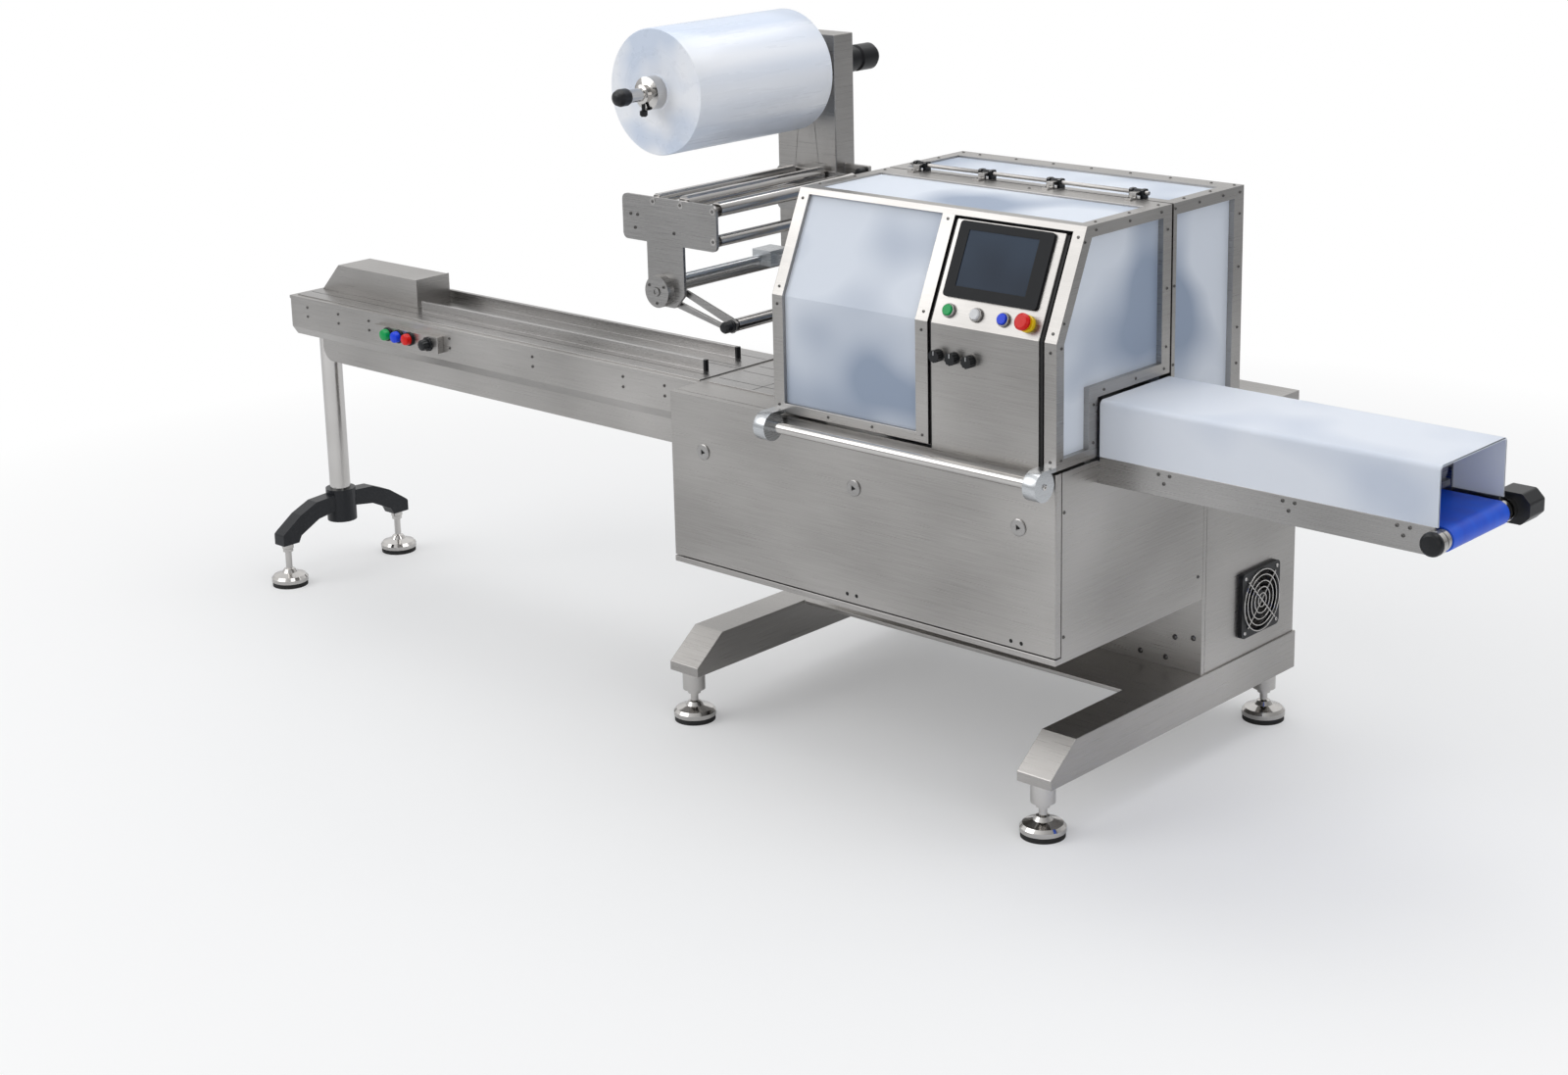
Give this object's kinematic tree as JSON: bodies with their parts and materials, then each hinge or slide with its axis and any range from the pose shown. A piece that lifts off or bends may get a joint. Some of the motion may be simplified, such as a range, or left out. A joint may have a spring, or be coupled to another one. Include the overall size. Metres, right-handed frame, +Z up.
{
  "type": "horizontal flow wrapper",
  "caption": "Horizontal flow wrapping machine with a long infeed channel, film reel on a column, hooded sealing station with control console and a short covered discharge belt.",
  "frame": {"origin": "on the floor under the middle of the bounding box", "axes": "+X along the product flow from infeed to discharge, operator at -Y, +Z up"},
  "size_m": [3.906, 1.154, 1.819],
  "materials": {
    "polished_steel": "polished",
    "pad_rubber": "matt",
    "dark_fold": "brushed",
    "steel_panel": "brushed",
    "satin_steel": "satin",
    "dark_lock": "satin",
    "black_plastic": "satin",
    "frosted_pane": "frosted",
    "satin_aluminium": "satin",
    "bezel_black": "gloss",
    "display_dark": "gloss",
    "green_cap": "gloss",
    "white_cap": "gloss",
    "blue_cap": "gloss",
    "red_cap": "gloss",
    "yellow_ring": "satin",
    "cast_black": "satin",
    "grey_cap": "gloss",
    "film_white": "satin",
    "belt_blue": "matt",
    "clear_cover": "frosted"
  },
  "bodies": {
    "machine": {"bearing_housings": "black_plastic", "bed_plates": "satin_steel", "belt_rollers": "polished_steel", "button_collars": "dark_lock", "cast_foot": "cast_black", "console_seals": "black_plastic", "control_console": "steel_panel", "discharge_belt": "belt_blue", "discharge_frame": "satin_steel", "electrical_cabinet": "steel_panel", "fan_frame": "black_plastic", "fan_grille": "polished_steel", "foot_pads": "pad_rubber", "front_cabinet": "dark_fold", "front_panel": "steel_panel", "hold_down": "black_plastic", "infeed_channel": "steel_panel", "infeed_tray": "steel_panel", "levelling_feet": "polished_steel", "machine_frame": "satin_steel", "panel_locks": "satin_steel", "rail_ends": "black_plastic", "rear_hood_frame": "steel_panel", "rear_hood_panes": "frosted_pane", "reel_brake": "black_plastic", "reel_column": "steel_panel", "roller_pins": "satin_steel", "roller_plates": "satin_steel", "screen_bezel": "bezel_black", "screen_display": "display_dark", "sealing_unit": "satin_steel", "station_box": "steel_panel", "station_controls": "grey_cap", "stop_collar": "yellow_ring", "support_column": "polished_steel", "tail_cover": "steel_panel", "tie_rod": "satin_aluminium", "tunnel_cover": "clear_cover"},
    "guard": {"guard_frame": "steel_panel", "guard_panes": "frosted_pane", "guard_handle": "polished_steel", "handle_blocks": "satin_aluminium"},
    "film_reel": {"film_roll": "film_white", "mandrel": "polished_steel", "mandrel_knobs": "black_plastic"},
    "dancer": {"dancer_arm": "satin_steel", "dancer_knob": "black_plastic"},
    "dancer_roller_body": {"dancer_roller": "polished_steel"},
    "green_push": {"green_button": "green_cap"},
    "white_push": {"white_button": "white_cap"},
    "blue_push": {"blue_button": "blue_cap"},
    "stop_push": {"emergency_stop": "red_cap"},
    "knob_1": {"rotary_knob_1": "black_plastic"},
    "knob_2": {"rotary_knob_2": "black_plastic"},
    "knob_3": {"rotary_knob_3": "black_plastic"},
    "fan": {"fan_rotor": "black_plastic"},
    "idler_a": {"idler_roller_a": "polished_steel"},
    "idler_b": {"idler_roller_b": "polished_steel"},
    "idler_c": {"idler_roller_c": "polished_steel"},
    "idler_d": {"idler_roller_d": "polished_steel"}
  },
  "joints": [
    {"name": "guard_hinge", "type": "hinge", "parent": "machine", "child": "guard", "pos_m": [0.643, 0.011, 1.46], "axis": [-1, 0, 0], "range_deg": [0, 75]},
    {"name": "film_reel_spin", "type": "hinge", "parent": "machine", "child": "film_reel", "pos_m": [-0.22, -0.237, 1.659], "axis": [0, 1, 0], "continuous": true},
    {"name": "dancer_swing", "type": "hinge", "parent": "machine", "child": "dancer", "pos_m": [-0.243, -0.157, 1.144], "axis": [0, 1, 0], "range_deg": [-6, 24]},
    {"name": "dancer_roller_spin", "type": "hinge", "parent": "dancer", "child": "dancer_roller_body", "pos_m": [-0.016, -0.157, 1.079], "axis": [0, 1, 0], "continuous": true},
    {"name": "idler_a_spin", "type": "hinge", "parent": "machine", "child": "idler_a", "pos_m": [-0.26, -0.157, 1.379], "axis": [0, 1, 0], "continuous": true},
    {"name": "idler_b_spin", "type": "hinge", "parent": "machine", "child": "idler_b", "pos_m": [-0.162, -0.157, 1.379], "axis": [0, 1, 0], "continuous": true},
    {"name": "idler_c_spin", "type": "hinge", "parent": "machine", "child": "idler_c", "pos_m": [-0.049, -0.157, 1.374], "axis": [0, 1, 0], "continuous": true},
    {"name": "idler_d_spin", "type": "hinge", "parent": "machine", "child": "idler_d", "pos_m": [-0.049, -0.157, 1.294], "axis": [0, 1, 0], "continuous": true},
    {"name": "green_press", "type": "slide", "parent": "machine", "child": "green_push", "axis": [0, 0.9119, -0.4104], "range_m": [0, 0.0035], "stiffness_N_per_m": 800},
    {"name": "white_press", "type": "slide", "parent": "machine", "child": "white_push", "axis": [0, 0.9119, -0.4104], "range_m": [0, 0.0035], "stiffness_N_per_m": 800},
    {"name": "blue_press", "type": "slide", "parent": "machine", "child": "blue_push", "axis": [0, 0.9119, -0.4104], "range_m": [0, 0.0035], "stiffness_N_per_m": 800},
    {"name": "stop_press", "type": "slide", "parent": "machine", "child": "stop_push", "axis": [0, 0.9119, -0.4104], "range_m": [0, 0.004], "stiffness_N_per_m": 1500},
    {"name": "knob_1_turn", "type": "hinge", "parent": "machine", "child": "knob_1", "pos_m": [0.702, -0.462, 1.124], "axis": [0, 1, 0], "range_deg": [-150, 150]},
    {"name": "knob_2_turn", "type": "hinge", "parent": "machine", "child": "knob_2", "pos_m": [0.749, -0.462, 1.124], "axis": [0, 1, 0], "range_deg": [-150, 150]},
    {"name": "knob_3_turn", "type": "hinge", "parent": "machine", "child": "knob_3", "pos_m": [0.797, -0.462, 1.124], "axis": [0, 1, 0], "range_deg": [-150, 150]},
    {"name": "fan_spin", "type": "hinge", "parent": "machine", "child": "fan", "pos_m": [1.024, 0.396, 0.371], "axis": [1, 0, 0], "continuous": true}
  ]
}
